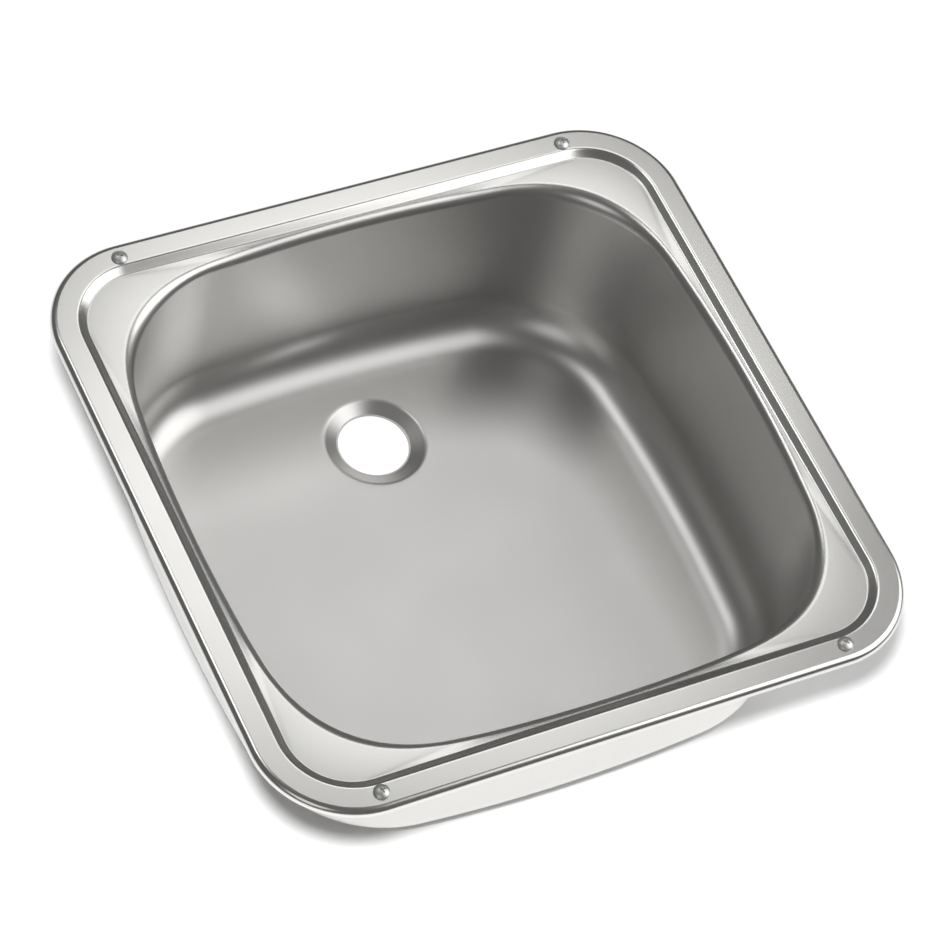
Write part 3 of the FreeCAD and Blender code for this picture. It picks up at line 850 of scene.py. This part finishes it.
def screw_head(screws, seat, top):
    """A dome on a short bevelled side, closed below."""
    head_radius = (SCREW_HIGH.x - SCREW_LOW.x) / 2
    side_top = seat + screws.head_side
    bevel = screws.head_bevel
    dome_rise = top - seat - screws.head_side
    dome_radius = (head_radius ** 2 + dome_rise ** 2) / (2 * dome_rise)
    profile = [(0, top)]
    for step in range(1, screws.dome_steps + 1):
        radius = head_radius * step / screws.dome_steps
        drop = dome_radius - math.sqrt(dome_radius ** 2 - radius ** 2)
        profile.append((radius, top - drop))
    # The dome's last point draws in a little, for a soft turn into the side
    profile[-1] = (head_radius - bevel / 3, profile[-1][1])
    profile += [(head_radius, side_top - bevel), (head_radius, seat + bevel)]
    profile += [(head_radius - bevel, seat), (screws.core_radius, seat), (0, seat)]
    return turned("screw_head", profile, screws.head_segments)


def screw_shank(screws, seat, bottom):
    """A wall round the axis whose radius swells along the thread's helix."""
    down_to = seat - bottom
    rows = round(down_to / screws.thread_pitch * screws.thread_steps)
    rings = []
    for row in range(rows + 1):
        down = down_to * row / rows
        taper = min(1, (down_to - down) / screws.point_length)
        ring = []
        for step in range(screws.shank_segments):
            turn = 2 * math.pi * step / screws.shank_segments
            phase = (down / screws.thread_pitch + turn / (2 * math.pi)) % 1
            # The thread fills the middle half of each pitch
            crest = max(0, 1 - abs(phase - 0.5) * 4)
            if down < screws.neck_length:
                radius = screws.neck_radius
            else:
                depth = (screws.shank_radius - screws.core_radius) * crest
                radius = (screws.core_radius + depth) * taper
            ring.append(Vector((radius * math.cos(turn), radius * math.sin(turn), seat - down)))
        rings.append(ring)
    mesh = mesh_from_rings("screw_shank", rings)
    close_up(mesh)
    return new_piece("screw_shank", mesh)


def recess_wing(screws, top, turn):
    """A blade as wide as the recess's slot, whose ends slope in towards its bottom."""
    half = screws.recess_slot / 2
    over = screws.recess_depth / 2
    # Height, share of the reach and share of the width, above the head and at the bottom
    levels = ((over, 1.1, 1.1), (-screws.recess_depth, 0.45, 0.6))
    corners = []
    for height, long, wide in levels:
        for x, y in ((-1, -1), (1, -1), (1, 1), (-1, 1)):
            place = (x * screws.recess_wing * long, y * half * wide, top + height)
            corners.append(Vector(place))
    faces = [(0, 1, 2, 3), (7, 6, 5, 4), (0, 4, 5, 1), (1, 5, 6, 2), (2, 6, 7, 3), (3, 7, 4, 0)]
    mesh = bpy.data.meshes.new("recess_wing")
    spin = Matrix.Rotation(turn, 3, "Z")
    mesh.from_pydata([spin @ corner for corner in corners], [], faces)
    close_up(mesh)
    return new_piece("recess_wing", mesh)


def screw_master(screws):
    """A domed tapping screw with a cross recess and a cut thread, upright on the axis."""
    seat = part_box("sink_bowl")[1][2]
    top, bottom = SCREW_HIGH.z, SCREW_LOW.z
    piece = new_piece("screw_head", screw_head(screws, seat, top))
    wings = [recess_wing(screws, top, turn) for turn in (0, math.pi / 2)]
    combine(piece, "DIFFERENCE", wings)
    combine(piece, "UNION", [screw_shank(screws, seat, bottom)])
    mesh = piece.data
    bpy.data.objects.remove(piece)
    return mesh


# Operators


class SINK_OT_press_bowl(bpy.types.Operator):
    """Make the stainless pressing and cut its screw holes."""

    bl_idname = "sink.press_bowl"
    bl_label = "Press Bowl"

    def execute(self, context):
        scene = context.scene
        material = material_for("satin_stainless_sheet", satin_stainless, context)
        piece = press_bowl(scene.sink_pressing, material)
        cut_screw_holes(piece, scene.sink_pressing, scene.sink_screws)
        smooth(piece)
        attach(piece, "root")
        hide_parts("sink_bowl")
        return {"FINISHED"}


class SINK_OT_lay_seal(bpy.types.Operator):
    """Lay the foam sealing strip under the rim."""

    bl_idname = "sink.lay_seal"
    bl_label = "Lay Seal"

    def execute(self, context):
        sizes = context.scene.sink_pressing
        seal = context.scene.sink_seal
        base = outline(sizes, sizes.rim_width / 2, sizes.rim_depth / 2, sizes.rim_corner_radius)
        low, high = SEAL_LOW.z, SEAL_HIGH.z
        corners = [
            ((seal.inner_inset, low), seal.small_radius),
            ((seal.inner_inset, high), seal.small_radius),
            ((seal.outer_inset, high), sizes.edge_roll_radius - seal.outer_inset),
            ((seal.outer_inset, low), seal.foot_radius),
        ]
        profile = rounded_loop(corners, seal.edge_steps)
        rings = [inset_ring(base, inset, height) for inset, height in profile]
        mesh = mesh_from_rings("sealing_strip", rings, close_rings=True)
        close_up(mesh)
        material = material_for("closed_cell_foam", foam_rubber, context)
        piece = new_piece("sealing_strip", mesh, material)
        smooth(piece)
        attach(piece, "root")
        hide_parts("rim_seal")
        return {"FINISHED"}


class SINK_OT_fit_screws(bpy.types.Operator):
    """Fit the four domed screws, one to each corner."""

    bl_idname = "sink.fit_screws"
    bl_label = "Fit Screws"

    def execute(self, context):
        master = screw_master(context.scene.sink_screws)
        material = material_for("polished_stainless_screw", polished_stainless, context)
        turns = [math.radians(degrees) for degrees in (20, 65, 40, 10)]
        fit_on_corners(
            master, "domed_screw", "fixing_screw", "screw", turns, material
        )
        return {"FINISHED"}


class SINK_OT_fit_washers(bpy.types.Operator):
    """Fit the captive washers on the screws."""

    bl_idname = "sink.fit_washers"
    bl_label = "Fit Washers"

    def execute(self, context):
        screws = context.scene.sink_screws
        outer = (WASHER_HIGH.x - WASHER_LOW.x) / 2
        inner = screws.neck_radius + screws.washer_clearance
        low, high = WASHER_LOW.z, WASHER_HIGH.z
        places = ((inner, low), (outer, low), (outer, high), (inner, high))
        corners = [(place, screws.washer_edge) for place in places]
        profile = rounded_loop(corners, screws.washer_steps)
        master = turned("captive_washer", profile, screws.head_segments)
        material = material_for("moulded_nylon", moulded_nylon, context)
        fit_on_corners(
            master, "nylon_washer", "captive_washer", "washer", [0] * 4, material
        )
        return {"FINISHED"}


class SINK_OT_set_stage(bpy.types.Operator):
    """Set the studio floor, the soft lights and the camera."""

    bl_idname = "sink.set_stage"
    bl_label = "Set Stage"

    def execute(self, context):
        studio = context.scene.sink_studio
        reach = studio.floor_reach
        mesh = bpy.data.meshes.new("studio_floor")
        corners = [(-reach, -reach, 0), (reach, -reach, 0), (reach, reach, 0), (-reach, reach, 0)]
        mesh.from_pydata(corners, [], [(0, 1, 2, 3)])
        material = material_for("studio_floor", studio_floor, context)
        floor = new_piece("studio_floor", mesh, material)
        aim = Vector((studio.aim_x, studio.aim_y, RIM_HIGH.z - studio.aim_drop))
        light_studio(context.scene, studio, aim, floor)
        set_camera(context.scene, studio, aim)
        return {"FINISHED"}


def set_camera(scene, studio, aim):
    """A long lens, looking down on the sink from its front left."""
    away = direction(studio.azimuth, studio.elevation)
    camera = bpy.data.objects.new("camera", bpy.data.cameras.new("camera"))
    camera.data.lens = studio.lens
    camera.data.sensor_width = SENSOR_WIDTH
    upright = (-away).to_track_quat("-Z", "Y").to_matrix()
    rolled = upright @ Matrix.Rotation(studio.roll, 3, "Z")
    camera.matrix_world = Matrix.Translation(aim + away * studio.distance) @ rolled.to_4x4()
    scene.collection.objects.link(camera)
    scene.camera = camera


def direction(azimuth, elevation):
    """A direction away from the sink: azimuth 0 is its front, and turns towards its right."""
    return Vector((
        math.sin(azimuth) * math.cos(elevation),
        -math.cos(azimuth) * math.cos(elevation),
        math.sin(elevation),
    ))


def add_lamp(scene, name, kind, place, aim):
    """A lamp that faces a point."""
    lamp = bpy.data.objects.new(name, bpy.data.lights.new(name, kind))
    lamp.location = place
    lamp.rotation_euler = (aim - place).to_track_quat("-Z", "Y").to_euler()
    scene.collection.objects.link(lamp)
    return lamp


def add_softbox(scene, studio, name, distance, aim):
    """An oval softbox, as bright as given whatever its size."""
    way = direction(getattr(studio, f"{name}_azimuth"), getattr(studio, f"{name}_elevation"))
    lamp = add_lamp(scene, f"{name}_softbox", "AREA", aim + way * distance, aim)
    light = lamp.data
    light.shape = "ELLIPSE"
    light.size = getattr(studio, f"{name}_width")
    light.size_y = getattr(studio, f"{name}_height")
    area = math.pi * light.size * light.size_y / 4
    light.energy = getattr(studio, f"{name}_brightness") * math.pi * area


def light_studio(scene, studio, aim, floor):
    """Softboxes that the steel mirrors, a dim room, and a lamp that only whitens the floor."""
    for name, distance in SOFTBOXES.items():
        add_softbox(scene, studio, name, distance, aim)
    way = direction(studio.wash_azimuth, studio.wash_elevation)
    wash = add_lamp(scene, "floor_wash", "SPOT", aim + way * studio.wash_distance, aim)
    wash.data.energy = studio.wash_power
    wash.data.spot_size = studio.wash_cone
    wash.data.spot_blend = studio.wash_blend
    wash.data.shadow_soft_size = studio.wash_softness
    washed = bpy.data.collections.new("washed")
    washed.objects.link(floor)
    wash.light_linking.receiver_collection = washed

    world = bpy.data.worlds.new("dim_room")
    world.use_nodes = True
    tree = world.node_tree
    tree.nodes.clear()
    settings = {"Color": linear(studio.room), "Strength": studio.room_brightness}
    light = add_node(tree, "ShaderNodeBackground", settings)
    add_node(tree, "ShaderNodeOutputWorld", links={"Surface": light.outputs["Background"]})
    scene.world = world
    scene.view_settings.view_transform = "Standard"


class SINK_PT_panel(bpy.types.Panel):
    """Lists the sink's pieces and its stage."""

    bl_label = "Square Sink"
    bl_idname = "SINK_PT_panel"
    bl_space_type = "VIEW_3D"
    bl_region_type = "UI"
    bl_category = "Sink"

    def draw(self, context):
        for operator in OPERATORS:
            self.layout.operator(operator.bl_idname)


OPERATORS = (
    SINK_OT_press_bowl,
    SINK_OT_lay_seal,
    SINK_OT_fit_screws,
    SINK_OT_fit_washers,
    SINK_OT_set_stage,
)
GROUPS = {
    "sink_pressing": PressingSizes,
    "sink_seal": SealSizes,
    "sink_screws": ScrewSizes,
    "sink_finishes": Finishes,
    "sink_studio": StudioSizes,
}


def register():
    for name, group in GROUPS.items():
        bpy.utils.register_class(group)
        setattr(bpy.types.Scene, name, bpy.props.PointerProperty(type=group))
    for operator in OPERATORS:
        bpy.utils.register_class(operator)
    bpy.utils.register_class(SINK_PT_panel)


def unregister():
    bpy.utils.unregister_class(SINK_PT_panel)
    for operator in reversed(OPERATORS):
        bpy.utils.unregister_class(operator)
    for name, group in GROUPS.items():
        delattr(bpy.types.Scene, name)
        bpy.utils.unregister_class(group)


def main():
    register()
    bpy.ops.sink.press_bowl()
    bpy.ops.sink.lay_seal()
    bpy.ops.sink.fit_screws()
    bpy.ops.sink.fit_washers()
    bpy.ops.sink.set_stage()


if __name__ == "__main__":
    main()
